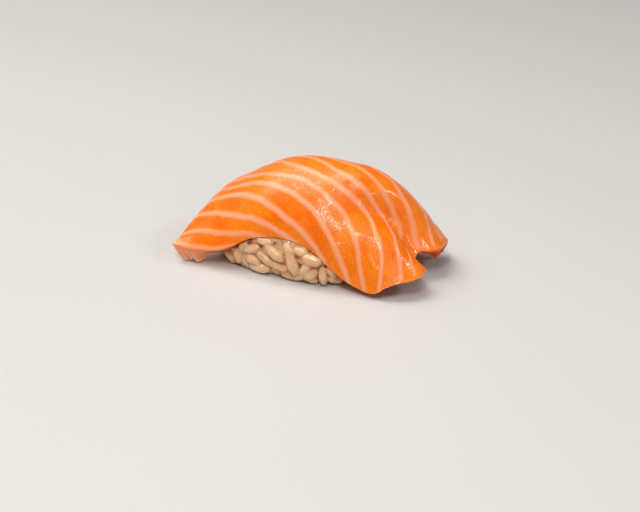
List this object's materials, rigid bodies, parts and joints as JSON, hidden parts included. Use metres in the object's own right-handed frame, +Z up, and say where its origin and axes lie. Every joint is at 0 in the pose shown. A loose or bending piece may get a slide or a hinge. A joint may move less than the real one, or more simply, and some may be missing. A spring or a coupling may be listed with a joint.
{
  "type": "salmon nigiri",
  "caption": "Hand-pressed ball of cooked rice with a broad, striped slice of raw salmon draped over it, folding down beside itself towards an end.",
  "frame": {"origin": "on the surface that the rice rests on, under the middle of the whole's outline", "axes": "+X along the slice towards the end with the fold, +Z up, -Y to the side where the rice shows"},
  "size_m": [0.0758, 0.0409, 0.0306],
  "materials": {
    "salmon_flesh": "wet raw fish, translucent, orange with pale stripes of fat",
    "cooked_rice": "moist cooked short-grain rice, translucent, warm off-white"
  },
  "bodies": {
    "root": {"salmon_slice": "salmon_flesh", "rice_ball": "cooked_rice"}
  },
  "joints": []
}
